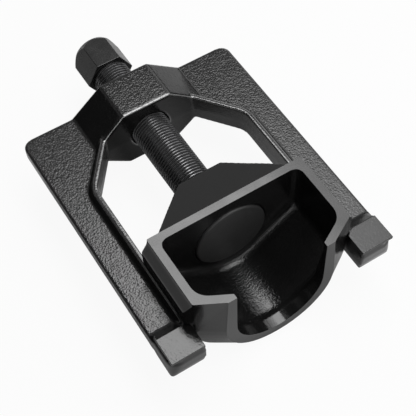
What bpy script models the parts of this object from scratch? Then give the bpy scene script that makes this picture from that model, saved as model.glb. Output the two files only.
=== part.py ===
"""Heavy-duty universal joint puller: a cast bridge frame with two legs, a receiver cup that
slides between them on the frame's inner ribs, and a forcing screw with a hex head that turns in
the frame's boss and pushes the cup toward the leg ends.

Tool axes: the screw lies along Y, its head toward +Y and the leg ends toward -Y.  Each piece is
drawn with the screw axis at x = 0, z = 0 and the frame's back edge at y = 0, and a parent empty
then sets the tool with its lowest point on z = 0 and its length centred on the origin.
"""
from math import atan2, cos, pi, radians, sin, sqrt, tan

import bmesh
import bpy
from mathutils import Vector

MM = 0.001

# General clearances
SEAT_GAP = 0.3 * MM
SLIDE_GAP = 0.8 * MM
SIDE_GAP = 1.0 * MM

# Bridge frame, one casting drafted both ways from its mid-plane
FRAME_WIDTH = 152.4 * MM
FRAME_LENGTH = 185.0 * MM
BACK_CORNER_RADIUS = 7.0 * MM
WEB_THICKNESS = 8.2 * MM
OPENING_WIDTH = 106.0 * MM
OPENING_HEAD_WIDTH = 59.0 * MM
SHOULDER_LENGTH = 30.6 * MM
SHOULDER_FILLET = 14.0 * MM
RIB_HEIGHT = 19.6 * MM
RIB_TOP_WIDTH = 3.2 * MM
RIB_BASE_WIDTH = 6.2 * MM
RIB_DRAFT = 0.5 * MM

BOSS_LENGTH = 32.4 * MM
BOSS_RISE = 21.8 * MM
BOSS_DROP = 24.0 * MM
BOSS_TOP_WIDTH = 33.8 * MM
BOSS_BASE_WIDTH = 78.8 * MM
BOSS_LOW_BASE_WIDTH = 84.0 * MM
BOSS_TOP_DRAFT = 2.2 * MM
BOSS_LOW_DRAFT = 1.0 * MM
BOSS_PROUD = 0.6 * MM
BOSS_EDGE = 1.0 * MM

FOOT_LENGTH = 25.4 * MM
FOOT_TOP_LENGTH = 17.4 * MM
FOOT_SETBACK = 0.2 * MM
FOOT_PROUD = 0.4 * MM
FOOT_DRAFT = 0.8 * MM
FOOT_TOE_DRAFT = 2.2 * MM
FOOT_CORNER = 7.0 * MM
FOOT_LOW_CORNER = 1.5 * MM
FOOT_NECK = 2.2 * MM
PAD_THICKNESS = 2.2 * MM
PAD_SETBACK = 0.5 * MM
PAD_PROUD = 0.15 * MM
PAD_CLIP_WIDTH = 5.0 * MM
PAD_CLIP_LENGTH = 3.2 * MM

# Forcing screw
SCREW_DIAMETER = 25.4 * MM
SCREW_CHAMFER = 1.6 * MM
BORE_CHAMFER = 1.2 * MM
HEX_ACROSS_FLATS = 28.6 * MM
HEX_LENGTH = 25.2 * MM
HEX_CHAMFER_ANGLE = radians(60.0)
HEX_END_RATIO = 0.94
HEAD_STANDOFF = 20.3 * MM
NOSE_DIAMETER = 19.0 * MM
NOSE_CHAMFER = 1.5 * MM
NOSE_LENGTH = 28.6 * MM

# Receiver cup
CUP_BACK = 121.3 * MM
CUP_BODY_LENGTH = 48.9 * MM
CUP_FRONT = 179.6 * MM
CUP_RIM_HEIGHT = 33.0 * MM
CUP_DEPTH = 36.4 * MM
CUP_BELLY_RADIUS = 38.0 * MM
RIM_WALL = 4.8 * MM
BACK_WALL = 5.0 * MM
FLOOR_WALL = 5.8 * MM
CAVITY_FILLET = 4.5 * MM
CAVITY_CORNER = 11.0 * MM
FLANK_ANGLE = radians(36.0)
FLANK_FILLET = 6.0 * MM
KEEL_FLAT = 0.6 * MM
MOUTH_RADIUS = 29.6 * MM
MOUTH_WALL = 6.8 * MM
MOUTH_TOP_WALL = 5.0 * MM
LIP_LENGTH = 7.4 * MM
LIP_STEP = 1.4 * MM
LIP_RAMP = 4.0 * MM
WING_WALL = 5.0 * MM
SHOULDER_OVERHANG = 4.7 * MM
SHOULDER_DROP = 7.4 * MM
RIM_LAND = 1.5 * MM

# Tail boss of the cup, which holds the screw's nose
TAIL_LENGTH = 29.4 * MM
TAIL_END_WIDTH = 29.4 * MM
TAIL_END_HEIGHT = 44.2 * MM
TAIL_BASE_WIDTH = 92.0 * MM
TAIL_STEP = 0.8 * MM

# Thrust button and the two pins that keep the nose in the cup
BUTTON_DIAMETER = 48.2 * MM
BUTTON_THICKNESS = 3.0 * MM
BUTTON_PROUD = 1.3 * MM
BUTTON_EDGE = 0.8 * MM
PIN_DIAMETER = 5.0 * MM
PIN_SETBACK = 12.0 * MM
PIN_GROOVE_SPARE = 0.5 * MM
PIN_RISE = 9.0 * MM
PIN_SINK = 1.5 * MM

# Facets
ROUND_SIDES = 48
PIN_SIDES = 24
ARC_STEPS = 8
CORNER_STEPS = 5
BELLY_STEPS = 12
FLANK_STEPS = 5

# Worked out from the sizes above
HALF_WEB = WEB_THICKNESS / 2
HALF_RIB = RIB_HEIGHT / 2
HALF_OPENING = OPENING_WIDTH / 2
HALF_CUP = HALF_OPENING - SIDE_GAP
SCREW_RADIUS = SCREW_DIAMETER / 2
NOSE_RADIUS = NOSE_DIAMETER / 2
PIN_RADIUS = PIN_DIAMETER / 2
TAIL_END = -CUP_BACK + TAIL_LENGTH
CAVITY_BACK = -CUP_BACK - BACK_WALL
HOLLOW_RADIUS = MOUTH_RADIUS + LIP_STEP
CUP_CORNER = -CUP_BACK - CUP_BODY_LENGTH
PIN_Y = TAIL_END - PIN_SETBACK
NOSE_END = TAIL_END + SEAT_GAP - NOSE_LENGTH
BUTTON_FACE = CAVITY_BACK - BUTTON_PROUD
BUTTON_SEAT = BUTTON_FACE + BUTTON_THICKNESS
HEAD_SEAT = BOSS_PROUD + HEAD_STANDOFF
HEAD_END = HEAD_SEAT + HEX_LENGTH


def clear_scene():
    """Remove whatever objects the file holds."""
    for thing in list(bpy.data.objects):
        bpy.data.objects.remove(thing, do_unlink=True)


def finish(name, colour, roughness, metallic):
    """A plain Principled material."""
    material = bpy.data.materials.new(name)
    material.use_nodes = True
    shader = material.node_tree.nodes["Principled BSDF"]
    shader.inputs["Base Color"].default_value = (*colour, 1.0)
    shader.inputs["Roughness"].default_value = roughness
    shader.inputs["Metallic"].default_value = metallic
    return material


def add_object(name, mesh, parent, material=None):
    """Link a mesh as an object under the tool's empty."""
    thing = bpy.data.objects.new(name, mesh)
    bpy.context.collection.objects.link(thing)
    thing.parent = parent
    if material:
        mesh.materials.append(material)
    else:
        thing.hide_render = True
        thing.display_type = "WIRE"
    return thing


def loft(name, loops, edge=0.0):
    """A closed mesh through loops of equal count, with flat end caps and eased edges if asked."""
    shape = bmesh.new()
    rings = []
    for loop in loops:
        rings.append([shape.verts.new(point) for point in loop])
    count = len(rings[0])
    for low, high in zip(rings, rings[1:]):
        for i in range(count):
            j = (i + 1) % count
            shape.faces.new((low[i], low[j], high[j], high[i]))
    shape.faces.new(rings[0])
    shape.faces.new(rings[-1])
    bmesh.ops.recalc_face_normals(shape, faces=shape.faces)
    if edge:
        sharp = [e for e in shape.edges if e.calc_face_angle(0.0) > radians(25.0)]
        bmesh.ops.bevel(shape, geom=sharp, offset=edge, segments=2, profile=0.5, affect="EDGES")
    mesh = bpy.data.meshes.new(name)
    shape.to_mesh(mesh)
    shape.free()
    return mesh


def turned(name, profile, sides):
    """A closed body turned about the Y axis from (radius, y) points, with flat ends."""
    loops = []
    for radius, y in profile:
        ring = []
        for i in range(sides):
            angle = 2 * pi * (i + 0.5) / sides
            ring.append(Vector((radius * cos(angle), y, radius * sin(angle))))
        loops.append(ring)
    mesh = loft(name, loops)
    mesh.shade_smooth()
    mesh.set_sharp_from_angle(angle=radians(30.0))
    return mesh


def combine(target, other, operation):
    """Boolean another object into the target, kept as a live modifier."""
    step = target.modifiers.new(other.name, "BOOLEAN")
    step.operation = operation
    step.object = other
    step.solver = "EXACT"


def fillet(before, corner, after, radius, steps):
    """Points of an arc that rounds the corner between two straight runs."""
    to_before = (before - corner).normalized()
    to_after = (after - corner).normalized()
    half = to_before.angle(to_after) / 2
    centre = corner + (to_before + to_after).normalized() * (radius / sin(half))
    start = corner + to_before * (radius / tan(half)) - centre
    end = corner + to_after * (radius / tan(half)) - centre
    first = atan2(start.y, start.x)
    sweep = atan2(end.y, end.x) - first
    sweep = (sweep + pi) % (2 * pi) - pi
    points = []
    for i in range(steps + 1):
        angle = first + sweep * i / steps
        points.append(centre + Vector((cos(angle), sin(angle))) * radius)
    return points


def opening_path(offset, end_y):
    """The frame's opening from the left leg end round the head to the right leg end, in plan.

    A positive offset moves the path out of the opening, into the casting.
    """
    head_y = -BOSS_LENGTH + BOSS_TOP_DRAFT + BOSS_PROUD
    shoulder_top = Vector((OPENING_HEAD_WIDTH / 2, head_y))
    shoulder_foot = Vector((HALF_OPENING, head_y - SHOULDER_LENGTH))
    along = (shoulder_top - shoulder_foot).normalized()
    outward = Vector((along.y, -along.x))
    base = shoulder_foot + outward * offset
    leg_x = HALF_OPENING + offset
    corner = base + along * ((leg_x - base.x) / along.x)
    top = base + along * ((head_y + offset - base.y) / along.y)
    leg_end = Vector((leg_x, end_y))
    right = [top] + fillet(top, corner, leg_end, SHOULDER_FILLET + offset, ARC_STEPS) + [leg_end]
    left = [Vector((-point.x, point.y)) for point in reversed(right)]
    return left + right


def at_height(path, z):
    """Lift a plan outline to a height."""
    return [Vector((point.x, point.y, z)) for point in path]


def frame_web():
    """The flat web: a U in plan with rounded back corners, its inner edge buried in the rib."""
    half_width = FRAME_WIDTH / 2
    leg_end = -FRAME_LENGTH + FOOT_LENGTH - FOOT_TOP_LENGTH / 4
    outline = opening_path((RIB_TOP_WIDTH + RIB_DRAFT) / 2, leg_end)
    back_right = Vector((half_width, 0.0))
    back_left = Vector((-half_width, 0.0))
    right_end = Vector((half_width, leg_end))
    left_end = Vector((-half_width, leg_end))
    outline.append(right_end)
    outline += fillet(right_end, back_right, back_left, BACK_CORNER_RADIUS, ARC_STEPS)
    outline += fillet(back_right, back_left, left_end, BACK_CORNER_RADIUS, ARC_STEPS)
    outline.append(left_end)
    return loft("frame_web", [at_height(outline, -HALF_WEB), at_height(outline, HALF_WEB)])


def frame_rib():
    """The raised rib round the opening: upright inside, sloped outside, drafted from mid-plane."""
    leg_end = -FRAME_LENGTH + FOOT_TOP_LENGTH / 2
    web_draft = RIB_DRAFT * HALF_WEB / HALF_RIB
    stations = (
        (-HALF_RIB, RIB_DRAFT, RIB_DRAFT + RIB_TOP_WIDTH),
        (-HALF_WEB, web_draft, RIB_BASE_WIDTH),
        (0.0, 0.0, RIB_BASE_WIDTH),
        (HALF_WEB, web_draft, RIB_BASE_WIDTH),
        (HALF_RIB, RIB_DRAFT, RIB_DRAFT + RIB_TOP_WIDTH),
    )
    loops = []
    for z, inner, outer in stations:
        band = opening_path(inner, leg_end) + opening_path(outer, leg_end)[::-1]
        loops.append(at_height(band, z))
    return loft("frame_rib", loops)


def frame_boss():
    """The head boss: flat top and bottom, sloped sides, and a front drafted from its mid-plane."""
    front = -BOSS_LENGTH
    half_base = BOSS_BASE_WIDTH / 2
    half_low = BOSS_LOW_BASE_WIDTH / 2
    half_top = BOSS_TOP_WIDTH / 2
    stations = (
        (-BOSS_DROP, half_top, front + BOSS_LOW_DRAFT),
        (-HALF_WEB, half_low, front + BOSS_LOW_DRAFT * HALF_WEB / BOSS_DROP),
        (0.0, half_base, front),
        (HALF_WEB, half_base, front + BOSS_TOP_DRAFT * HALF_WEB / BOSS_RISE),
        (BOSS_RISE, half_top, front + BOSS_TOP_DRAFT),
    )
    loops = []
    for z, half_width, face in stations:
        corners = ((-half_width, face), (half_width, face), (half_width, BOSS_PROUD), (-half_width, BOSS_PROUD))
        loops.append([Vector((x, y, z)) for x, y in corners])
    return loft("frame_boss", loops, BOSS_EDGE)


def foot_outline(inner, outer, front, back, radius):
    """A foot in plan, its outer toe corner rounded."""
    toe_in = Vector((inner, front))
    heel_out = Vector((outer, back))
    arc = fillet(toe_in, Vector((outer, front)), heel_out, radius, CORNER_STEPS)
    return [toe_in] + arc + [heel_out, Vector((inner, back))]


def frame_foot(side):
    """The block at a leg end: ramped up from the web, drafted, with a neck under the pad."""
    inner = HALF_OPENING - FOOT_PROUD
    outer = FRAME_WIDTH / 2 - FOOT_SETBACK
    toe = -FRAME_LENGTH
    heel = toe + FOOT_LENGTH
    top_heel = toe + FOOT_DRAFT + FOOT_TOP_LENGTH
    web_share = HALF_WEB / HALF_RIB
    low_draft = FOOT_DRAFT * web_share
    stations = [
        (-HALF_RIB, FOOT_DRAFT, FOOT_DRAFT, FOOT_TOE_DRAFT, top_heel, FOOT_LOW_CORNER),
        (-HALF_WEB, low_draft, low_draft, FOOT_TOE_DRAFT * web_share, heel, (FOOT_CORNER + FOOT_LOW_CORNER) / 2),
        (HALF_WEB, low_draft, low_draft, low_draft / 2, heel, FOOT_CORNER),
    ]
    for z in (HALF_WEB + FOOT_NECK * 0.8, HALF_RIB - PAD_THICKNESS / 2):
        rise = (z - HALF_WEB) / (HALF_RIB - HALF_WEB)
        draft = low_draft + (FOOT_DRAFT - low_draft) * rise
        front = low_draft / 2 + (FOOT_DRAFT - low_draft / 2) * rise
        stations.append((z, draft, FOOT_NECK, front, heel + (top_heel - heel) * rise, FOOT_CORNER))
    loops = []
    for z, inset, outset, front, back, radius in stations:
        outline = foot_outline(inner + inset, outer - outset, toe + front, back, radius)
        loops.append([Vector((side * point.x, point.y, z)) for point in outline])
    return loft("frame_foot", loops)


def foot_pad(side):
    """The pad on top of a foot: it overhangs the foot's round corner and clears the cup's shoulder."""
    inner = HALF_OPENING - FOOT_PROUD + FOOT_DRAFT - PAD_PROUD
    outer = FRAME_WIDTH / 2 - FOOT_SETBACK - FOOT_DRAFT - PAD_SETBACK
    front = -FRAME_LENGTH + FOOT_DRAFT - PAD_PROUD
    back = -FRAME_LENGTH + FOOT_DRAFT + FOOT_TOP_LENGTH
    ramp = (FOOT_LENGTH - FOOT_DRAFT - FOOT_TOP_LENGTH) / (HALF_RIB - HALF_WEB)
    loops = []
    low_back = back + PAD_THICKNESS * ramp - PAD_PROUD
    for z, heel in ((HALF_RIB - PAD_THICKNESS, low_back), (HALF_RIB + PAD_PROUD, back)):
        clip = ((inner + PAD_CLIP_WIDTH, heel), (inner, heel - PAD_CLIP_LENGTH))
        corners = ((inner, front), (outer, front), (outer, heel)) + clip
        loops.append([Vector((side * x, y, z)) for x, y in corners])
    return loft("foot_pad", loops)


def frame_bore():
    """The screw's hole through the boss, chamfered at both mouths."""
    radius = SCREW_RADIUS + SEAT_GAP
    front = -BOSS_LENGTH
    spare = BOSS_TOP_DRAFT + BOSS_LOW_DRAFT
    profile = (
        (radius + BORE_CHAMFER + spare, BOSS_PROUD + spare),
        (radius, BOSS_PROUD - BORE_CHAMFER),
        (radius, front + BORE_CHAMFER),
        (radius + BORE_CHAMFER + spare, front - spare),
    )
    return turned("frame_bore", profile, ROUND_SIDES)


def build_frame(tool, paint):
    """Join web, rib, boss and feet into the one casting and bore it for the screw."""
    frame = add_object("bridge_frame", frame_web(), tool, paint)
    combine(frame, add_object("rib_form", frame_rib(), tool), "UNION")
    combine(frame, add_object("boss_form", frame_boss(), tool), "UNION")
    for side, label in ((-1, "left"), (1, "right")):
        combine(frame, add_object(label + "_foot_form", frame_foot(side), tool), "UNION")
        combine(frame, add_object(label + "_pad_form", foot_pad(side), tool), "UNION")
    combine(frame, add_object("screw_bore", frame_bore(), tool), "DIFFERENCE")
    return frame


def trough(half_width, top, floor, radius, y, lip_half_width=None):
    """A U section across the cup: upright sides, quarter-round bilges and a level floor."""
    radius = min(radius, half_width - KEEL_FLAT / 2)
    top_half = lip_half_width if lip_half_width else half_width
    centre_x = half_width - radius
    centre_z = floor + radius
    right = [Vector((top_half, y, top))]
    for i in range(BELLY_STEPS + 1):
        angle = pi / 2 * i / BELLY_STEPS
        right.append(Vector((centre_x + radius * cos(angle), y, centre_z - radius * sin(angle))))
    left = [Vector((-point.x, point.y, point.z)) for point in reversed(right)]
    return right + left


def cup_body():
    """The cup's outer form: a trough that narrows at its wings to the round mouth."""
    mouth = MOUTH_RADIUS + MOUTH_WALL
    body = [trough(HALF_CUP, CUP_RIM_HEIGHT, -CUP_DEPTH, CUP_BELLY_RADIUS, y) for y in (-CUP_BACK, CUP_CORNER)]
    front = trough(mouth, CUP_RIM_HEIGHT, -mouth, mouth, -CUP_FRONT, MOUTH_RADIUS + MOUTH_TOP_WALL)
    return loft("cup_body", body + [front])


def wing_slope():
    """How far the wings run forward for each unit inward, in plan."""
    return (CUP_FRONT + CUP_CORNER) / (HALF_CUP - MOUTH_RADIUS - MOUTH_TOP_WALL)


def cup_shoulder(side):
    """A guide shoulder along one flank, with a long chamfer under the rim, that rides on the rib."""
    outer = HALF_CUP + SHOULDER_OVERHANG
    inner = HALF_CUP - RIM_WALL + SEAT_GAP
    floor = HALF_RIB + SLIDE_GAP
    land = CUP_RIM_HEIGHT - RIM_LAND
    buried = HALF_CUP - SHOULDER_OVERHANG / 8
    crest = land + (HALF_CUP - buried) * SHOULDER_DROP / SHOULDER_OVERHANG
    section = ((inner, floor), (outer, floor), (outer, land - SHOULDER_DROP), (buried, crest), (inner, crest))
    back = [Vector((side * x, -CUP_BACK - SEAT_GAP, z)) for x, z in section]
    front = []
    for x, z in section:
        y = CUP_CORNER + SEAT_GAP + (x - HALF_CUP) * wing_slope()
        front.append(Vector((side * x, y, z)))
    return loft("cup_shoulder", [back, front])


def cup_tail():
    """The tail boss: a wedge that narrows from the cup's back to the seat of the screw."""
    root = -CUP_BACK - BACK_WALL / 2
    base_top = CUP_RIM_HEIGHT - TAIL_STEP
    base_low = CUP_DEPTH - FLOOR_WALL
    end_top = TAIL_END_HEIGHT / 2
    grow = (root + CUP_BACK) / TAIL_LENGTH
    stations = (
        (TAIL_END, TAIL_END_WIDTH / 2, end_top, end_top),
        (root, TAIL_BASE_WIDTH / 2 * (1 - grow / 2), base_top, base_low),
    )
    loops = []
    for y, half_width, top, low in stations:
        half_low = half_width * 0.55
        section = (
            (half_width, top),
            (half_width, -low * 0.2),
            (half_low, -low),
            (-half_low, -low),
            (-half_width, -low * 0.2),
            (-half_width, top),
        )
        loops.append([Vector((x, y, z)) for x, z in section])
    return loft("cup_tail", loops)


def hollow(half_width, top, radius, y):
    """A section of the hollow: upright walls, sloped flanks and a round bottom about the screw axis."""
    foot = Vector((radius * sin(FLANK_ANGLE), -radius * cos(FLANK_ANGLE)))
    corner = Vector((half_width, foot.y + (half_width - foot.x) * tan(FLANK_ANGLE)))
    plan = [Vector((half_width, top))]
    plan += fillet(plan[0], corner, foot, FLANK_FILLET, FLANK_STEPS)
    arc_steps = BELLY_STEPS - FLANK_STEPS - 1
    for i in range(arc_steps + 1):
        angle = FLANK_ANGLE * (1 - i / arc_steps)
        plan.append(Vector((max(radius * sin(angle), KEEL_FLAT / 2), -radius * cos(angle))))
    right = [Vector((point.x, y, point.y)) for point in plan]
    left = [Vector((-point.x, y, point.y)) for point in reversed(plan)]
    return right + left


def cup_cavity():
    """The hollow: full width behind the wings, a round bottom, then a step up to the bored lip."""
    half = HALF_CUP - RIM_WALL
    top = CUP_RIM_HEIGHT + SEAT_GAP
    slope = wing_slope()
    wall = WING_WALL * sqrt(1 + slope ** 2)
    wing_start = CUP_CORNER + wall - RIM_WALL * slope
    wing_end = wing_start - (half - MOUTH_RADIUS) * slope
    mouth_y = -CUP_FRONT + LIP_LENGTH
    mouth_half = half - (wing_start - mouth_y) / slope
    mouth_flare = MOUTH_RADIUS + (mouth_half - MOUTH_RADIUS) * top / CUP_RIM_HEIGHT
    back = CAVITY_FILLET
    side_run = Vector((half, CAVITY_BACK - back))
    wing_foot = Vector((half, wing_start))
    wing_tip = Vector((MOUTH_RADIUS, wing_end))
    loops = []
    for inset, reach in ((back, 0.0), (back * 0.3, back * 0.3), (0.0, back)):
        loops.append(hollow(half - inset, top, HOLLOW_RADIUS - inset, CAVITY_BACK - reach))
    step_half = half - (wing_start - mouth_y - LIP_STEP) / slope
    path = fillet(side_run, wing_foot, wing_tip, CAVITY_CORNER, CORNER_STEPS)
    path = [point for point in path if point.y > mouth_y + LIP_STEP * 1.2]
    path.append(Vector((step_half, mouth_y + LIP_STEP)))
    for point in path:
        radius = MOUTH_RADIUS + LIP_STEP * min((point.y - mouth_y) / LIP_RAMP, 1.0)
        loops.append(hollow(point.x, top, radius, point.y))
    loops.append(trough(MOUTH_RADIUS, top, -MOUTH_RADIUS, MOUTH_RADIUS, mouth_y, mouth_flare))
    loops.append(trough(MOUTH_RADIUS, top, -MOUTH_RADIUS, MOUTH_RADIUS, wing_end))
    loops.append(trough(MOUTH_RADIUS, top, -MOUTH_RADIUS, MOUTH_RADIUS, -CUP_FRONT - LIP_LENGTH))
    return loft("cup_cavity", loops)


def cup_bore():
    """The stepped hole for the screw's nose, the button's shank and the button's head."""
    nose = NOSE_RADIUS + SEAT_GAP
    head = BUTTON_DIAMETER / 2 + SEAT_GAP
    seat = BUTTON_SEAT + SEAT_GAP
    profile = (
        (nose, TAIL_END + BACK_WALL),
        (nose, seat),
        (head, seat),
        (head, CAVITY_BACK - BACK_WALL),
    )
    return turned("cup_bore", profile, ROUND_SIDES)


def pin_body(name, side, radius, low, high):
    """An upright round bar beside the screw's nose."""
    loops = []
    for z in (low, high):
        ring = []
        for i in range(PIN_SIDES):
            angle = 2 * pi * i / PIN_SIDES
            ring.append(Vector((side * NOSE_RADIUS + radius * cos(angle), PIN_Y + radius * sin(angle), z)))
        loops.append(ring)
    mesh = loft(name, loops)
    mesh.shade_smooth()
    mesh.set_sharp_from_angle(angle=radians(30.0))
    return mesh


def tail_underside(y):
    """Height of the tail boss's flat underside at a place along the screw."""
    root = -CUP_BACK - BACK_WALL / 2
    share = (TAIL_END - y) / (TAIL_END - root)
    return -TAIL_END_HEIGHT / 2 + share * (TAIL_END_HEIGHT / 2 - CUP_DEPTH + FLOOR_WALL)


def build_cup(tool, paint):
    """Join body, shoulders and tail into the receiver casting, then hollow and bore it."""
    cup = add_object("receiver_cup", cup_body(), tool, paint)
    for side, label in ((-1, "left"), (1, "right")):
        combine(cup, add_object(label + "_shoulder_form", cup_shoulder(side), tool), "UNION")
    combine(cup, add_object("tail_form", cup_tail(), tool), "UNION")
    for side, label in ((-1, "left"), (1, "right")):
        low = -CUP_DEPTH - FLOOR_WALL
        hole = pin_body("pin_hole", side, PIN_RADIUS + SEAT_GAP, low, PIN_RISE + SEAT_GAP)
        combine(cup, add_object(label + "_pin_hole", hole, tool), "DIFFERENCE")
    combine(cup, add_object("nose_bore", cup_bore(), tool), "DIFFERENCE")
    combine(cup, add_object("cavity_form", cup_cavity(), tool), "DIFFERENCE")
    return cup


def hex_head():
    """The tall hex of the screw, a flat facing up."""
    across_corners = HEX_ACROSS_FLATS / cos(pi / 6)
    loops = []
    for y in (HEAD_SEAT, HEAD_END):
        ring = []
        for i in range(6):
            angle = pi / 3 * i
            ring.append(Vector((across_corners / 2 * cos(angle), y, across_corners / 2 * sin(angle))))
        loops.append(ring)
    return loft("hex_head", loops)


def hex_chamfer():
    """The steep cone that takes the corners off the far end of the hex."""
    end_radius = HEX_ACROSS_FLATS / 2 * HEX_END_RATIO
    reach = HEX_ACROSS_FLATS
    drop = (reach - end_radius) * tan(HEX_CHAMFER_ANGLE)
    profile = ((end_radius, HEAD_END), (reach, HEAD_END - drop), (reach, HEAD_END - drop - HEX_LENGTH * 2))
    return turned("hex_chamfer", profile, ROUND_SIDES)


def screw_shank():
    """The screw's shank and its turned nose, with the groove that the two pins ride in."""
    groove_radius = NOSE_RADIUS - PIN_RADIUS - SEAT_GAP
    groove_half = PIN_RADIUS + PIN_GROOVE_SPARE
    shank_end = TAIL_END + SEAT_GAP
    profile = (
        (SCREW_RADIUS, HEAD_SEAT + HEX_LENGTH / 4),
        (SCREW_RADIUS, shank_end + SCREW_CHAMFER),
        (SCREW_RADIUS - SCREW_CHAMFER, shank_end),
        (NOSE_RADIUS, shank_end),
        (NOSE_RADIUS, PIN_Y + groove_half),
        (groove_radius, PIN_Y + groove_half),
        (groove_radius, PIN_Y - groove_half),
        (NOSE_RADIUS, PIN_Y - groove_half),
        (NOSE_RADIUS, NOSE_END + NOSE_CHAMFER),
        (NOSE_RADIUS - NOSE_CHAMFER, NOSE_END),
    )
    return turned("screw_shank", profile, ROUND_SIDES)


def build_screw(tool, steel):
    """The forcing screw: shank and nose joined to the chamfered hex head."""
    screw = add_object("forcing_screw", screw_shank(), tool, steel)
    head = add_object("hex_form", hex_head(), tool)
    combine(head, add_object("hex_chamfer_form", hex_chamfer(), tool), "INTERSECT")
    combine(screw, head, "UNION")
    return screw


def build_button(tool, steel):
    """The thrust button: a round head seated in the cup's back wall and a shank in the bore."""
    head = BUTTON_DIAMETER / 2
    shank_end = NOSE_END - SEAT_GAP
    profile = (
        (NOSE_RADIUS, shank_end),
        (NOSE_RADIUS, BUTTON_SEAT),
        (head, BUTTON_SEAT),
        (head, BUTTON_FACE + BUTTON_EDGE),
        (head - BUTTON_EDGE * 0.3, BUTTON_FACE + BUTTON_EDGE * 0.3),
        (head - BUTTON_EDGE, BUTTON_FACE),
    )
    return add_object("thrust_button", turned("thrust_button", profile, ROUND_SIDES), tool, steel)


def build_pins(tool, steel):
    """The two pins that stand in the tail boss and hold the nose by its groove."""
    low = tail_underside(PIN_Y + PIN_RADIUS) + PIN_SINK
    for side, label in ((-1, "left"), (1, "right")):
        mesh = pin_body("retaining_pin", side, PIN_RADIUS, low, PIN_RISE)
        add_object("retaining_pin_" + label, mesh, tool, steel)


def main():
    clear_scene()
    tool = bpy.data.objects.new("tool", None)
    bpy.context.collection.objects.link(tool)
    lowest = max(CUP_DEPTH, MOUTH_RADIUS + MOUTH_WALL)
    tool.location = (0.0, (FRAME_LENGTH - HEAD_END) / 2, lowest)
    cast_paint = finish("black cast paint", (0.018, 0.018, 0.019), 0.42, 0.0)
    cup_paint = finish("black receiver paint", (0.02, 0.02, 0.021), 0.38, 0.0)
    black_steel = finish("black oxide steel", (0.03, 0.03, 0.032), 0.35, 0.8)
    bare_steel = finish("ground steel", (0.28, 0.28, 0.29), 0.35, 1.0)
    build_frame(tool, cast_paint)
    build_cup(tool, cup_paint)
    build_screw(tool, black_steel)
    build_button(tool, black_steel)
    build_pins(tool, bare_steel)


main()
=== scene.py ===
# %% [markdown]
# # A heavy universal joint puller, finished for the camera
#
# The frame already holds every piece at its real size and place. This lesson gives each piece its
# final skin: two sand castings with soft edges, a screw with a true helical thread, a turned
# button and two pins. Then come the paint, the light and the camera.

from math import cos, pi, radians, sin, tan

import bmesh
import bpy
import numpy as np
from mathutils import Matrix, Vector


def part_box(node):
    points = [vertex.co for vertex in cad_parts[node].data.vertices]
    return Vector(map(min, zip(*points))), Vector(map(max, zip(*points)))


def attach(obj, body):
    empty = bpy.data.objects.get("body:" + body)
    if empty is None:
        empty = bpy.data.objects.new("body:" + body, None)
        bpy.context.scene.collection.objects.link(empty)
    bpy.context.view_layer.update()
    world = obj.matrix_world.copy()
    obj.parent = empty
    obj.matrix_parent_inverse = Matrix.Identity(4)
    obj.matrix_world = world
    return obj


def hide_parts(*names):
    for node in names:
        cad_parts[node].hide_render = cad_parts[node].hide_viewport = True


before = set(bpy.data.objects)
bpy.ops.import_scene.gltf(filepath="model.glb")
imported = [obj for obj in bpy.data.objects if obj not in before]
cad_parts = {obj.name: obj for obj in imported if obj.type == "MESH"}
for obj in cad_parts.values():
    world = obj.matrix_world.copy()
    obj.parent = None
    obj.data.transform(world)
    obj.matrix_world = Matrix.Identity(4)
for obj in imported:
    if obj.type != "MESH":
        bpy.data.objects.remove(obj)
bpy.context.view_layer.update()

# %% [markdown]
# ## Sizes
#
# Places come from the frame: the screw's box gives the axis and the head, the cup's box gives the
# mouth. Only finish sizes, such as thread depth and edge radii, are set here.

# %%
MM = 0.001

SCREW_LOW, SCREW_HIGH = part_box("forcing_screw")
CUP_LOW, CUP_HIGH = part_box("receiver_cup")
BUTTON_LOW, BUTTON_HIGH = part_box("thrust_button")
FRAME_LOW, FRAME_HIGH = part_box("bridge_frame")

AXIS_Z = (SCREW_LOW[2] + SCREW_HIGH[2]) / 2
HEAD_END = SCREW_HIGH[1]
NOSE_END = SCREW_LOW[1]

HALF_WEB = 4.1 * MM
FOOT_RISE = 9.95 * MM
WEB_TOP = AXIS_Z + HALF_WEB
WEB_BOTTOM = AXIS_Z - HALF_WEB
FOOT_TOP = AXIS_Z + FOOT_RISE

# Castings: grid of the skin, passes that soften its edges, spare metal for machining, tolerances
FRAME_GRID = 0.78 * MM
CUP_GRID = 0.80 * MM
SOFTEN_PASSES = 4
STOCK = 2.0 * MM
CUT_TOLERANCE = 0.001 * MM
FLAT_TOLERANCE = 0.03 * MM
ON_FLAT = 0.02 * MM
WELD = 0.01 * MM
ROUND_WELD = 0.005 * MM

# Foot pads: depth of the crisp block, its reach from the toe, its eased edge and lift, and the leg behind it
PAD_DEPTH = 2.2 * MM
PAD_REACH = 19.0 * MM
PAD_EDGE = 0.25 * MM
PAD_LIFT = 0.05 * MM
LEG_START = 26.0 * MM

# Sand texture: its depth and size, and how strong it is on each kind of surface
SAND_DEPTH = 0.15 * MM
SAND_SIZE = 1.8 * MM
PAINT_GRAIN = 0.35
PAD_GRAIN = 0.35
FOOT_GRAIN = 0.2
FRAME_GRAIN = 0.4
LEVEL_GRAIN = 0.6
LEVEL_REACH = 1.2 * MM
CUP_GRAIN = 0.10
ROOF_GRAIN = 0.15
HOLLOW_GRAIN = 0.8
FILLET_GRAIN = 1.2
FILLET_REACH = 7.0 * MM
HOLLOW_HALF_WIDTH = 47.6 * MM
LIP_SMOOTH = 8.0 * MM
LIP_FADE = 3.0 * MM
RIM_SMOOTH = 6.0 * MM
RIM_FADE = 6.0 * MM
ROOF_START = 59.0 * MM

# Edges of the frame that are rubbed to a shine
EDGE_ANGLE = radians(25.0)
EDGE_REACH = 0.95 * MM
EDGE_SHINE = 0.9

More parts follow.
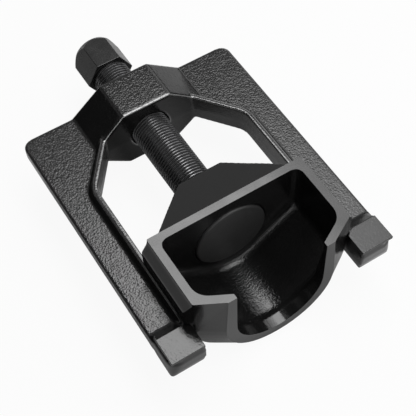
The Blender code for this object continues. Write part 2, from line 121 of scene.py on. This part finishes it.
# Screw: 1 inch, 12 threads to the inch, right-hand
THREAD_RADIUS = 12.7 * MM
THREAD_PITCH = 25.4 * MM / 12
THREAD_DEPTH = 1.25 * MM
CREST_SHARE = 0.26
ROOT_SHARE = 0.16
THREAD_STEPS = 40
TIP_CHAMFER = 1.6 * MM
WEAR_REACH = 0.2 * MM
HEX_FLATS = 28.6 * MM
HEX_LENGTH = 25.2 * MM
HEX_EDGE = 0.35 * MM
HEX_END_SHARE = 0.94
HEX_END_EASE = 0.6 * MM
HEX_END_DROP = 0.5 * MM
NOSE_RADIUS = 9.5 * MM
NOSE_LENGTH = 28.6 * MM
GROOVE_RADIUS = 6.7 * MM
GROOVE_WIDTH = 6.0 * MM
GROOVE_SETBACK = 11.7 * MM
GROOVE_EASE = 0.4 * MM
NOSE_LEAD = 1.5 * MM
ROUND_STEPS = 64
FINE_STEPS = 96

HEAD_SEAT = HEAD_END - HEX_LENGTH
THREAD_END = NOSE_END + NOSE_LENGTH

# %% [markdown]
# ## Helpers
#
# Each piece is made in the row frame, with its place in its mesh. A copy of a frame mesh is merged
# before it is worked on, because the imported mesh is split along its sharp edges.

# %%


def only(piece):
    """Make one object the active and only selected one."""
    bpy.ops.object.select_all(action="DESELECT")
    piece.select_set(True)
    bpy.context.view_layer.objects.active = piece


def apply_all(piece):
    """Apply a piece's modifiers in order."""
    only(piece)
    for step in list(piece.modifiers):
        bpy.ops.object.modifier_apply(modifier=step.name)


def merged_copy(node, name):
    """A welded copy of a frame node's mesh as a new object."""
    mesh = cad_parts[node].data.copy()
    mesh.materials.clear()
    piece = bpy.data.objects.new(name, mesh)
    bpy.context.scene.collection.objects.link(piece)
    only(piece)
    bpy.ops.object.mode_set(mode="EDIT")
    bpy.ops.mesh.select_all(action="SELECT")
    bpy.ops.mesh.remove_doubles(threshold=WELD)
    bpy.ops.mesh.customdata_custom_splitnormals_clear()
    bpy.ops.object.mode_set(mode="OBJECT")
    return piece


def profile_object(name, points):
    """A chain of (radius, y) points, with both ends on the screw axis or left open, ready to be spun."""
    mesh = bpy.data.meshes.new(name)
    places = [(radius, y, AXIS_Z) for radius, y in points]
    mesh.from_pydata(places, [(i, i + 1) for i in range(len(points) - 1)], [])
    piece = bpy.data.objects.new(name, mesh)
    bpy.context.scene.collection.objects.link(piece)
    return piece


def spin_about_axis(piece, steps):
    """Turn a profile into a closed round body about the screw axis."""
    only(piece)
    bpy.ops.object.mode_set(mode="EDIT")
    bpy.ops.mesh.select_all(action="SELECT")
    bpy.ops.mesh.spin(steps=steps, angle=2 * pi, center=(0, 0, AXIS_Z), axis=(0, 1, 0))
    bpy.ops.mesh.select_all(action="SELECT")
    bpy.ops.mesh.remove_doubles(threshold=ROUND_WELD)
    bpy.ops.mesh.normals_make_consistent(inside=False)
    bpy.ops.object.mode_set(mode="OBJECT")


def smooth(piece, angle=35.0):
    """Shade smooth, with edges steeper than the angle left crisp."""
    piece.data.shade_smooth()
    piece.data.set_sharp_from_angle(angle=radians(angle))


def stand_in(piece, node, body):
    """Show this piece in place of a frame node, moving with its body."""
    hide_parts(node)
    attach(piece, body)


def vertex_arrays(mesh):
    """Positions and normals of a mesh's vertices as arrays."""
    places = np.empty(len(mesh.vertices) * 3, dtype=np.float32)
    normals = np.empty(len(mesh.vertices) * 3, dtype=np.float32)
    mesh.vertices.foreach_get("co", places)
    mesh.vertex_normals.foreach_get("vector", normals)
    return places.reshape(-1, 3), normals.reshape(-1, 3)


def near(values, target, reach):
    """1 at the target, falling to 0 at the reach."""
    return np.clip(1.0 - np.abs(values - target) / reach, 0.0, 1.0)


def set_grain(piece, weights, machined=None):
    """Store how rough the cast surface is at each vertex, for the shader and the displacement.

    Machined places keep their level and only a fine grain of paint."""
    layer = piece.data.attributes.new("grain", "FLOAT", "POINT")
    if machined is None:
        machined = np.zeros(len(weights), dtype=bool)
    layer.data.foreach_set("value", np.where(machined, PAINT_GRAIN, weights).astype(np.float32))
    group = piece.vertex_groups.new(name="grain")
    levels = np.round(np.where(machined, 0.0, weights) * 8) / 8
    for level in np.unique(levels):
        if level > 0:
            group.add(np.nonzero(levels == level)[0].tolist(), float(level), "REPLACE")


def sharp_edges(piece):
    """End points of a body's sharp outward edges."""
    body = bmesh.new()
    body.from_mesh(piece.data)
    ends = []
    for edge in body.edges:
        if len(edge.link_faces) == 2 and edge.is_convex and edge.calc_face_angle() > EDGE_ANGLE:
            ends.append([np.array(corner.co) for corner in edge.verts])
    body.free()
    return ends


def set_edges(piece, ends):
    """Store which vertices of a skin lie along the sharp edges of its body, the feet left out."""
    places = vertex_arrays(piece.data)[0]
    nearest = np.full(len(places), 1.0)
    for start, end in ends:
        along = end - start
        share = np.clip((places - start) @ along / (along @ along), 0.0, 1.0)
        gap = np.linalg.norm(places - start - share[:, None] * along, axis=1)
        nearest = np.minimum(nearest, gap)
    shine = np.clip(2.0 - 2.0 * nearest / EDGE_REACH, 0.0, 1.0)
    shine *= places[:, 1] > FRAME_LOW[1] + LEG_START
    layer = piece.data.attributes.new("edge", "FLOAT", "POINT")
    layer.data.foreach_set("value", shine.astype(np.float32))


def cast_skin(piece, grid):
    """A single skin over a casting, on an even grid, with softened edges and corners."""
    skin = piece.modifiers.new("skin", "REMESH")
    skin.mode = "VOXEL"
    skin.voxel_size = grid
    skin.use_smooth_shade = True
    soften = piece.modifiers.new("soften", "SMOOTH")
    soften.factor = 0.5
    soften.iterations = SOFTEN_PASSES
    apply_all(piece)


def select_faces(piece, wanted):
    """Enter edit mode with only the wanted faces selected."""
    only(piece)
    bpy.ops.object.mode_set(mode="EDIT")
    bpy.ops.mesh.select_mode(type="FACE")
    bpy.ops.mesh.select_all(action="DESELECT")
    bpy.ops.object.mode_set(mode="OBJECT")
    for face in piece.data.polygons:
        face.select = wanted(face)
    bpy.ops.object.mode_set(mode="EDIT")


def is_flat(face, direction, level):
    """Whether a face lies at a level and looks in its direction."""
    return abs(face.center.dot(direction) - level) < FLAT_TOLERANCE and face.normal.dot(direction) > 0.99


def add_stock(piece, direction, level):
    """Extrude the flat faces at a level outward, as the spare metal that machining takes off."""

    def on_level(face):
        return is_flat(face, direction, level)

    select_faces(piece, on_level)
    bpy.ops.mesh.extrude_region_move(TRANSFORM_OT_translate={"value": direction * STOCK})
    bpy.ops.object.mode_set(mode="OBJECT")


def machine_face(piece, direction, level):
    """Cut the spare metal off again, which leaves a true flat with crisp edges."""
    only(piece)
    bpy.ops.object.mode_set(mode="EDIT")
    bpy.ops.mesh.select_all(action="SELECT")
    bpy.ops.mesh.bisect(
        plane_co=direction * level,
        plane_no=direction,
        use_fill=True,
        clear_outer=True,
        threshold=CUT_TOLERANCE,
    )
    bpy.ops.object.mode_set(mode="OBJECT")


def on_flat(places, direction, level):
    """Which of these places lie on a machined face."""
    return np.abs(places @ np.array(direction) - level) < ON_FLAT


def flat_shading(piece, direction, level):
    """Shade a machined face flat, so that no rounding shows on it."""
    for face in piece.data.polygons:
        if is_flat(face, direction, level):
            face.use_smooth = False


def sand_texture(piece, depth, size):
    """Push the grainy parts of a casting in and out by a little, as a sand mould leaves them."""
    cloud = bpy.data.textures.new(piece.name + " sand", "CLOUDS")
    cloud.noise_scale = size
    cloud.noise_depth = 2
    push = piece.modifiers.new("sand", "DISPLACE")
    push.texture = cloud
    push.texture_coords = "LOCAL"
    push.vertex_group = "grain"
    push.mid_level = 0.5
    push.strength = depth
    apply_all(piece)


# %% [markdown]
# ## Bridge frame
#
# The casting's web and the top and bottom of its boss keep the sand's texture. The ribs and slopes are
# smoother, and the edges along the opening are rubbed to a shine. Each foot carries a crisp machined pad.

# %%


def foot_pad(side):
    """The machined pad of one foot: the frame's own pad face made solid, with crisp eased edges."""

    def pad_face(face):
        at_toe = face.center.y < FRAME_LOW[1] + PAD_REACH and face.center.x * side > 0
        return at_toe and is_flat(face, Vector((0, 0, 1)), FOOT_TOP)

    pad = merged_copy("bridge_frame", "foot_pad")
    select_faces(pad, pad_face)
    bpy.ops.mesh.select_all(action="INVERT")
    bpy.ops.mesh.delete(type="FACE")
    bpy.ops.mesh.select_all(action="SELECT")
    bpy.ops.mesh.dissolve_limited(angle_limit=radians(1.0))
    bpy.ops.object.mode_set(mode="OBJECT")
    pad.data.transform(Matrix.Translation((0, 0, PAD_LIFT)))
    body = pad.modifiers.new("body", "SOLIDIFY")
    body.thickness = PAD_DEPTH
    body.offset = -1.0
    ease = pad.modifiers.new("ease", "BEVEL")
    ease.width = PAD_EDGE
    ease.segments = 2
    ease.harden_normals = True
    pad.data.shade_smooth()
    apply_all(pad)
    set_grain(pad, np.full(len(pad.data.vertices), PAD_GRAIN))
    return pad


def bridge_frame():
    """The frame's casting with its two pads, as one piece."""
    piece = merged_copy("bridge_frame", "bridge_frame_skin")
    ends = sharp_edges(piece)
    cast_skin(piece, FRAME_GRID)
    set_edges(piece, ends)
    places, normals = vertex_arrays(piece.data)
    level = np.clip((np.abs(normals[:, 2]) - 0.8) / 0.15, 0.0, 1.0)
    height = places[:, 2]
    web = np.maximum(near(height, WEB_TOP, LEVEL_REACH), near(height, WEB_BOTTOM, LEVEL_REACH))
    legs = places[:, 1] > FRAME_LOW[1] + LEG_START
    boss = np.maximum(near(height, FRAME_HIGH[2], LEVEL_REACH), near(height, FRAME_LOW[2], LEVEL_REACH))
    plain = np.where(legs, FRAME_GRAIN, FOOT_GRAIN)
    set_grain(piece, plain + LEVEL_GRAIN * level * legs * np.clip(2.0 * web + 1.6 * boss, 0.0, 1.0))
    sand_texture(piece, SAND_DEPTH, SAND_SIZE)
    piece.data.shade_smooth()
    pads = [foot_pad(side) for side in (-1, 1)]
    only(piece)
    for pad in pads:
        pad.select_set(True)
    bpy.ops.object.join()
    stand_in(piece, "bridge_frame", "frame")
    return piece


frame_skin = bridge_frame()

# %% [markdown]
# ## Receiver cup
#
# The hollow is as cast and grainy on its floor. The rim, the bored lip and the mouth's face are smooth,
# and the tail's sloped roof has a fine grain.

# %%


def receiver_cup():
    """The cup's casting, with machined rim and mouth face."""
    piece = merged_copy("receiver_cup", "receiver_cup_skin")
    faces = ((Vector((0, -1, 0)), -CUP_LOW[1]), (Vector((0, 0, 1)), CUP_HIGH[2]))
    for direction, level in faces:
        add_stock(piece, direction, level)
    cast_skin(piece, CUP_GRID)
    for direction, level in faces:
        machine_face(piece, direction, level)
    places, normals = vertex_arrays(piece.data)
    across, along, height = np.abs(places[:, 0]), places[:, 1], places[:, 2]
    from_lip = np.clip((along - CUP_LOW[1] - LIP_SMOOTH) / LIP_FADE, 0.0, 1.0)
    low = np.clip((CUP_HIGH[2] - RIM_SMOOTH - height) / RIM_FADE, 0.0, 1.0)
    inside = (across < HOLLOW_HALF_WIDTH) & (normals[:, 2] > 0.02) & (along < BUTTON_LOW[1])
    roof = (along > CUP_LOW[1] + ROOF_START) & (normals[:, 2] > 0.3)
    fillet = near(along, BUTTON_LOW[1], FILLET_REACH)
    hollow = inside * from_lip * low * (HOLLOW_GRAIN + FILLET_GRAIN * fillet)
    grain = CUP_GRAIN + hollow + ROOF_GRAIN * roof
    machined = np.zeros(len(places), dtype=bool)
    for direction, level in faces:
        machined |= on_flat(places, direction, level)
    set_grain(piece, grain, machined)
    sand_texture(piece, SAND_DEPTH, SAND_SIZE)
    piece.data.shade_smooth()
    for direction, level in faces:
        flat_shading(piece, direction, level)
    stand_in(piece, "receiver_cup", "receiver")
    return piece


cup_skin = receiver_cup()

# %% [markdown]
# ## Forcing screw
#
# One pitch of the thread's section is swept up the axis by the Screw modifier, so the crest is a
# real right-hand helix. Two flat cuts give it its ends.

# %%


def cut_flat(piece, y, keep_above):
    """Cut a body square to the screw axis, drop one side and close the cut."""
    only(piece)
    bpy.ops.object.mode_set(mode="EDIT")
    bpy.ops.mesh.select_all(action="SELECT")
    bpy.ops.mesh.bisect(
        plane_co=(0, y, AXIS_Z),
        plane_no=(0, 1, 0),
        use_fill=True,
        clear_inner=keep_above,
        clear_outer=not keep_above,
        threshold=CUT_TOLERANCE,
    )
    bpy.ops.object.mode_set(mode="OBJECT")


def set_wear(piece):
    """Store where the thread's crests are rubbed bare by the frame's boss."""
    places = vertex_arrays(piece.data)[0]
    radius = np.hypot(places[:, 0], places[:, 2] - AXIS_Z)
    crest = np.clip((radius - THREAD_RADIUS + WEAR_REACH) / WEAR_REACH, 0.0, 1.0)
    layer = piece.data.attributes.new("wear", "FLOAT", "POINT")
    layer.data.foreach_set("value", crest.astype(np.float32))


def thread():
    """The threaded shank, from inside the head to the shoulder above the nose."""
    root = THREAD_RADIUS - THREAD_DEPTH
    crest = CREST_SHARE * THREAD_PITCH
    flank = (1 - CREST_SHARE - ROOT_SHARE) / 2 * THREAD_PITCH
    start = THREAD_END - 2 * THREAD_PITCH
    points = (
        (THREAD_RADIUS, start),
        (THREAD_RADIUS, start + crest),
        (root, start + crest + flank),
        (root, start + THREAD_PITCH - flank),
        (THREAD_RADIUS, start + THREAD_PITCH),
    )
    piece = profile_object("screw_thread", points)
    piece.data.transform(Matrix.Translation((0, 0, -AXIS_Z)))
    sweep = piece.modifiers.new("sweep", "SCREW")
    sweep.axis = "Y"
    sweep.angle = 2 * pi
    sweep.screw_offset = THREAD_PITCH
    sweep.iterations = int((HEAD_SEAT - THREAD_END) / THREAD_PITCH) + 5
    sweep.steps = THREAD_STEPS
    sweep.render_steps = THREAD_STEPS
    sweep.use_merge_vertices = True
    sweep.merge_threshold = ROUND_WELD
    apply_all(piece)
    piece.data.transform(Matrix.Translation((0, 0, AXIS_Z)))
    cut_flat(piece, HEAD_SEAT + THREAD_PITCH, False)
    cut_flat(piece, THREAD_END, True)
    for vertex in piece.data.vertices:
        across = Vector((vertex.co.x, 0.0, vertex.co.z - AXIS_Z))
        limit = THREAD_RADIUS - TIP_CHAMFER + (vertex.co.y - THREAD_END)
        if across.length > limit:
            across *= limit / across.length
            vertex.co.x = across.x
            vertex.co.z = AXIS_Z + across.z
    smooth(piece, 30.0)
    set_wear(piece)
    return piece


def nose():
    """The plain turned nose with the groove for the pins."""
    groove_top = THREAD_END - GROOVE_SETBACK + GROOVE_WIDTH / 2
    groove_low = groove_top - GROOVE_WIDTH
    points = (
        (0.0, THREAD_END + THREAD_PITCH),
        (NOSE_RADIUS, THREAD_END + THREAD_PITCH),
        (NOSE_RADIUS, groove_top + GROOVE_EASE),
        (NOSE_RADIUS - GROOVE_EASE, groove_top),
        (GROOVE_RADIUS, groove_top),
        (GROOVE_RADIUS, groove_low),
        (NOSE_RADIUS - GROOVE_EASE, groove_low),
        (NOSE_RADIUS, groove_low - GROOVE_EASE),
        (NOSE_RADIUS, NOSE_END + NOSE_LEAD),
        (NOSE_RADIUS - NOSE_LEAD, NOSE_END),
        (0.0, NOSE_END),
    )
    piece = profile_object("screw_nose", points)
    spin_about_axis(piece, ROUND_STEPS)
    smooth(piece, 30.0)
    return piece


def hex_head():
    """The tall hex, with a steep cone over the corners of its end."""
    middle = (HEAD_SEAT + HEAD_END) / 2
    bpy.ops.mesh.primitive_cylinder_add(
        vertices=6, radius=HEX_FLATS / 2 / cos(pi / 6), depth=HEX_LENGTH, location=(0, 0, 0)
    )
    head = bpy.context.object
    head.name = "screw_head"
    head.data.transform(Matrix.Rotation(pi / 2, 4, "X"))
    head.data.transform(Matrix.Rotation(pi / 6, 4, "Y"))
    head.data.transform(Matrix.Translation((0, middle, AXIS_Z)))
    end_radius = HEX_FLATS / 2 * HEX_END_SHARE
    wide = HEX_FLATS
    drop = (wide - end_radius) * tan(pi / 3)
    cone = profile_object(
        "head_cone",
        (
            (0.0, HEAD_END),
            (end_radius - HEX_END_EASE, HEAD_END),
            (end_radius, HEAD_END - HEX_END_DROP),
            (wide, HEAD_END - drop),
            (wide, HEAD_SEAT - HEX_LENGTH * 2),
            (0.0, HEAD_SEAT - HEX_LENGTH * 2),
        ),
    )
    spin_about_axis(cone, FINE_STEPS)
    trim = head.modifiers.new("cone", "BOOLEAN")
    trim.operation = "INTERSECT"
    trim.object = cone
    trim.solver = "EXACT"
    ease = head.modifiers.new("ease", "BEVEL")
    ease.width = HEX_EDGE
    ease.segments = 3
    ease.limit_method = "ANGLE"
    ease.angle_limit = radians(25.0)
    ease.harden_normals = True
    head.data.shade_smooth()
    apply_all(head)
    bpy.data.objects.remove(cone)
    return head


def forcing_screw():
    """The screw, joined from shank, nose and head."""
    shank = thread()
    tip = nose()
    head = hex_head()
    only(shank)
    tip.select_set(True)
    head.select_set(True)
    bpy.ops.object.join()
    shank.name = "forcing_screw_threaded"
    stand_in(shank, "forcing_screw", "screw")
    return shank


screw = forcing_screw()

# %% [markdown]
# ## Thrust button and pins
#
# The button's face is turned flat with a rounded edge. The pins are plain ground dowels with eased ends.

# %%
BUTTON_RADIUS = (BUTTON_HIGH[0] - BUTTON_LOW[0]) / 2
BUTTON_THICKNESS = 3.0 * MM
BUTTON_ROUND = 1.3 * MM
BUTTON_STEPS = 6
PIN_EASE = 0.5 * MM


def thrust_button():
    """The turned button, with a rounded edge and a spigot behind it."""
    face = BUTTON_LOW[1]
    back = face + BUTTON_THICKNESS
    spigot = BUTTON_HIGH[1]
    points = [(0.0, spigot), (NOSE_RADIUS, spigot), (NOSE_RADIUS, back), (BUTTON_RADIUS, back)]
    for i in range(BUTTON_STEPS + 1):
        angle = pi / 2 * i / BUTTON_STEPS
        radius = BUTTON_RADIUS - BUTTON_ROUND * (1 - cos(angle))
        points.append((radius, face + BUTTON_ROUND * (1 - sin(angle))))
    points.append((0.0, face))
    piece = profile_object("thrust_button_turned", points)
    spin_about_axis(piece, FINE_STEPS)
    smooth(piece, 40.0)
    stand_in(piece, "thrust_button", "receiver")
    return piece


def retaining_pin(side):
    """One of the two pins, its ends eased."""
    node = "retaining_pin_" + side
    piece = merged_copy(node, node + "_ground")
    ease = piece.modifiers.new("ease", "BEVEL")
    ease.width = PIN_EASE
    ease.segments = 2
    ease.limit_method = "ANGLE"
    ease.angle_limit = radians(50.0)
    apply_all(piece)
    smooth(piece)
    stand_in(piece, node, "receiver")
    return piece


button = thrust_button()
pins = [retaining_pin(side) for side in ("left", "right")]

# %% [markdown]
# ## Finishes
#
# Everything but the pins is black. The castings wear a semi-gloss paint whose grain follows the stored
# roughness of the cast surface and whose edges shine a little. The screw and button have a finer oxide
# finish, worn along the crests of the thread.

# %%
PEEL_SIZE = 0.35 * MM
PEEL_DEPTH = 0.010 * MM
PAINT_DRIFT = 18 * MM
MARK_SIZE = 0.5 * MM
MARK_DEPTH = 0.012 * MM
OXIDE_DRIFT = 9 * MM
FINE_STRENGTH = 0.5
PAINT_IOR = 1.5
OXIDE_IOR = 1.48
WORN_STEEL = (0.15, 0.15, 0.153, 1.0)
PIN_STEEL = (0.32, 0.32, 0.33, 1.0)


def new_material(name):
    """A fresh material with its nodes, links and main shader."""
    material = bpy.data.materials.new(name)
    material.use_nodes = True
    nodes = material.node_tree.nodes
    return material, nodes, material.node_tree.links, nodes["Principled BSDF"]


def noise(nodes, links, coordinates, scale, detail):
    """A noise value over these coordinates."""
    texture = nodes.new("ShaderNodeTexNoise")
    texture.inputs["Scale"].default_value = scale
    texture.inputs["Detail"].default_value = detail
    texture.inputs["Roughness"].default_value = 0.6
    links.new(coordinates, texture.inputs["Vector"])
    return texture.outputs["Fac"]


def spread(nodes, links, value, low, high):
    """Map a 0.3 to 0.7 noise value onto a range."""
    step = nodes.new("ShaderNodeMapRange")
    step.inputs["From Min"].default_value = 0.3
    step.inputs["From Max"].default_value = 0.7
    step.inputs["To Min"].default_value = low
    step.inputs["To Max"].default_value = high
    links.new(value, step.inputs["Value"])
    return step.outputs["Result"]


def bump(nodes, links, height, distance, strength=1.0, under=None):
    """A bump from this height, laid over another one if given."""
    step = nodes.new("ShaderNodeBump")
    step.inputs["Distance"].default_value = distance
    step.inputs["Strength"].default_value = strength
    links.new(height, step.inputs["Height"])
    if under:
        links.new(under, step.inputs["Normal"])
    return step


def cast_paint(name, tone, roughness, grain_size, grain_depth):
    """Black paint over a casting: sand grain where the surface has it, fine peel, and edges that shine."""
    material, nodes, links, shader = new_material(name)
    place = nodes.new("ShaderNodeTexCoord").outputs["Object"]
    grain = nodes.new("ShaderNodeAttribute")
    grain.attribute_name = "grain"
    coarse = bump(nodes, links, noise(nodes, links, place, 1 / grain_size, 1.5), grain_depth)
    links.new(grain.outputs["Fac"], coarse.inputs["Strength"])
    fine = noise(nodes, links, place, 1 / PEEL_SIZE, 2.0)
    peel = bump(nodes, links, fine, PEEL_DEPTH, FINE_STRENGTH, coarse.outputs["Normal"])
    links.new(peel.outputs["Normal"], shader.inputs["Normal"])
    drift = noise(nodes, links, place, 1 / PAINT_DRIFT, 2.0)
    links.new(spread(nodes, links, drift, roughness - 0.04, roughness + 0.05), shader.inputs["Roughness"])
    shader.inputs["Base Color"].default_value = (tone, tone, tone, 1.0)
    edge = nodes.new("ShaderNodeAttribute")
    edge.attribute_name = "edge"
    gloss = nodes.new("ShaderNodeMath")
    gloss.operation = "MULTIPLY_ADD"
    gloss.inputs[1].default_value = EDGE_SHINE
    gloss.inputs[2].default_value = PAINT_IOR
    links.new(edge.outputs["Fac"], gloss.inputs[0])
    links.new(gloss.outputs["Value"], shader.inputs["IOR"])
    return material


def oxide_steel(name, tone, roughness):
    """Machined steel under black oxide, with faint tool marks, bright where the oxide is worn off."""
    material, nodes, links, shader = new_material(name)
    place = nodes.new("ShaderNodeTexCoord").outputs["Object"]
    fine = noise(nodes, links, place, 1 / MARK_SIZE, 3.0)
    marks = bump(nodes, links, fine, MARK_DEPTH, FINE_STRENGTH)
    links.new(marks.outputs["Normal"], shader.inputs["Normal"])
    drift = noise(nodes, links, place, 1 / OXIDE_DRIFT, 2.0)
    links.new(spread(nodes, links, drift, roughness - 0.04, roughness + 0.06), shader.inputs["Roughness"])
    wear = nodes.new("ShaderNodeAttribute")
    wear.attribute_name = "wear"
    tint = nodes.new("ShaderNodeMix")
    tint.data_type = "RGBA"
    tint.inputs["A"].default_value = (tone, tone, tone, 1.0)
    tint.inputs["B"].default_value = WORN_STEEL
    links.new(wear.outputs["Fac"], tint.inputs["Factor"])
    links.new(tint.outputs["Result"], shader.inputs["Base Color"])
    links.new(wear.outputs["Fac"], shader.inputs["Metallic"])
    shader.inputs["IOR"].default_value = OXIDE_IOR
    return material


def ground_steel(name):
    """Bare ground steel for the pins."""
    material, nodes, links, shader = new_material(name)
    shader.inputs["Base Color"].default_value = PIN_STEEL
    shader.inputs["Metallic"].default_value = 1.0
    shader.inputs["Roughness"].default_value = 0.3
    return material


def paint(piece, material):
    """Give a piece one material."""
    piece.data.materials.clear()
    piece.data.materials.append(material)


frame_paint = cast_paint(
    "frame paint", tone=0.004, roughness=0.13, grain_size=1.15 * MM, grain_depth=0.22 * MM
)
cup_paint = cast_paint(
    "cup paint", tone=0.004, roughness=0.17, grain_size=1.0 * MM, grain_depth=0.24 * MM
)
paint(frame_skin, frame_paint)
paint(cup_skin, cup_paint)
paint(screw, oxide_steel("screw oxide", tone=0.006, roughness=0.24))
paint(button, oxide_steel("button oxide", tone=0.018, roughness=0.5))
for pin in pins:
    paint(pin, ground_steel(pin.name + " steel"))

# %% [markdown]
# ## Floor, light and camera
#
# The tool lies on a plain floor under two overhead panels. Weaker panels in front, beside and behind light
# its sides. The room around is dim, so that the slopes which face away from the panels stay black. The
# camera sees floor and room as white, and metal mirrors a little of that white.

# %%
FLOOR_REACH = 6.0
FLOOR_DROP = 0.2 * MM
FLOOR_SEEN_WHITE = 0.93
FLOOR_MIRRORED_WHITE = 0.06
FLOOR_TONE = (0.48, 0.48, 0.48, 1.0)
ROOM_LEVEL = 0.01
ROOM_MIRRORED_WHITE = 0.01

# Panels: name, place, size, power and the point each one faces
MIDDLE = (0.0, 0.0, 0.05)
PANELS = (
    ("key", (0.22, 0.03, 1.0), (0.40, 1.14), 9.9, (0.22, 0.03, 0.0)),
    ("side", (0.80, 0.03, 1.0), (0.76, 1.14), 7.5, (0.80, 0.03, 0.0)),
    ("front", (0.0, -1.15, 0.8), (2.4, 1.0), 10.5, MIDDLE),
    ("left wall", (-1.4, -0.55, 0.5), (1.3, 0.8), 3.0, MIDDLE),
    ("right wall", (1.4, -0.55, 0.5), (1.3, 0.8), 3.0, MIDDLE),
    ("left corner", (-0.8, 0.72, 0.88), (0.6, 0.45), 0.3, MIDDLE),
    ("right corner", (1.05, 0.85, 0.6), (0.8, 0.75), 2.4, MIDDLE),
    ("back", (0.25, 1.05, 0.75), (1.4, 1.4), 2.7, (0.0, 0.0, 0.0)),
)

CAMERA_AIM = (-0.00149, -0.0339, 0.0364)
CAMERA_DISTANCE = 0.60777
CAMERA_AZIMUTH = -29.37
CAMERA_ELEVATION = 56.67
CAMERA_ROLL = -3.14
CAMERA_LENS = 86.87


def white_share(nodes, links, seen, mirrored):
    """How white a background is: plain to the camera, and less so where metal or glass shows it."""
    path = nodes.new("ShaderNodeLightPath")
    direct = nodes.new("ShaderNodeMath")
    direct.operation = "MULTIPLY"
    direct.inputs[1].default_value = seen
    links.new(path.outputs["Is Camera Ray"], direct.inputs[0])
    bent = nodes.new("ShaderNodeMath")
    bent.operation = "MAXIMUM"
    links.new(path.outputs["Is Glossy Ray"], bent.inputs[0])
    links.new(path.outputs["Is Transmission Ray"], bent.inputs[1])
    share = nodes.new("ShaderNodeMath")
    share.operation = "MULTIPLY_ADD"
    share.inputs[1].default_value = mirrored
    links.new(bent.outputs["Value"], share.inputs[0])
    links.new(direct.outputs["Value"], share.inputs[2])
    return share.outputs["Value"]


def white_floor():
    """The floor, white to the camera, which still takes the tool's shadow."""
    bpy.ops.mesh.primitive_plane_add(size=FLOOR_REACH, location=(0, 0, -FLOOR_DROP))
    floor = bpy.context.object
    floor.name = "floor"
    material, nodes, links, shader = new_material("white floor")
    shader.inputs["Base Color"].default_value = FLOOR_TONE
    shader.inputs["Roughness"].default_value = 0.9
    shader.inputs["Specular IOR Level"].default_value = 0.0
    glow = nodes.new("ShaderNodeEmission")
    blend = nodes.new("ShaderNodeMixShader")
    share = white_share(nodes, links, FLOOR_SEEN_WHITE, FLOOR_MIRRORED_WHITE)
    links.new(share, blend.inputs["Fac"])
    links.new(shader.outputs["BSDF"], blend.inputs[1])
    links.new(glow.outputs["Emission"], blend.inputs[2])
    links.new(blend.outputs["Shader"], nodes["Material Output"].inputs["Surface"])
    paint(floor, material)


def softbox(name, place, size, power, aim):
    """A rectangular panel of light that faces a point."""
    light = bpy.data.lights.new(name, "AREA")
    light.shape = "RECTANGLE"
    light.size, light.size_y = size
    light.energy = power
    lamp = bpy.data.objects.new(name, light)
    bpy.context.scene.collection.objects.link(lamp)
    lamp.location = place
    lamp.rotation_euler = (Vector(place) - Vector(aim)).to_track_quat("Z", "Y").to_euler()


def room():
    """The dim room around, white to the camera."""
    world = bpy.data.worlds.new("room")
    bpy.context.scene.world = world
    world.use_nodes = True
    nodes = world.node_tree.nodes
    links = world.node_tree.links
    nodes.clear()
    mix = nodes.new("ShaderNodeMix")
    mix.data_type = "RGBA"
    mix.inputs["A"].default_value = (ROOM_LEVEL, ROOM_LEVEL, ROOM_LEVEL, 1.0)
    mix.inputs["B"].default_value = (1.0, 1.0, 1.0, 1.0)
    background = nodes.new("ShaderNodeBackground")
    output = nodes.new("ShaderNodeOutputWorld")
    links.new(white_share(nodes, links, 1.0, ROOM_MIRRORED_WHITE), mix.inputs["Factor"])
    links.new(mix.outputs["Result"], background.inputs["Color"])
    links.new(background.outputs["Background"], output.inputs["Surface"])


def camera():
    """The camera, set by the point it aims at, its distance and its angles."""
    lens = bpy.data.cameras.new("camera")
    lens.lens = CAMERA_LENS
    lens.clip_start = 0.01
    eye = bpy.data.objects.new("camera", lens)
    bpy.context.scene.collection.objects.link(eye)
    tilt = Matrix.Rotation(radians(90 - CAMERA_ELEVATION), 4, "X")
    turn = Matrix.Rotation(radians(CAMERA_AZIMUTH), 4, "Z") @ tilt
    back = turn.to_3x3() @ Vector((0, 0, 1))
    place = Matrix.Translation(Vector(CAMERA_AIM) + back * CAMERA_DISTANCE)
    eye.matrix_world = place @ turn @ Matrix.Rotation(radians(CAMERA_ROLL), 4, "Z")
    bpy.context.scene.camera = eye


white_floor()
for panel in PANELS:
    softbox(*panel)
room()
camera()
bpy.context.scene.view_settings.view_transform = "Standard"
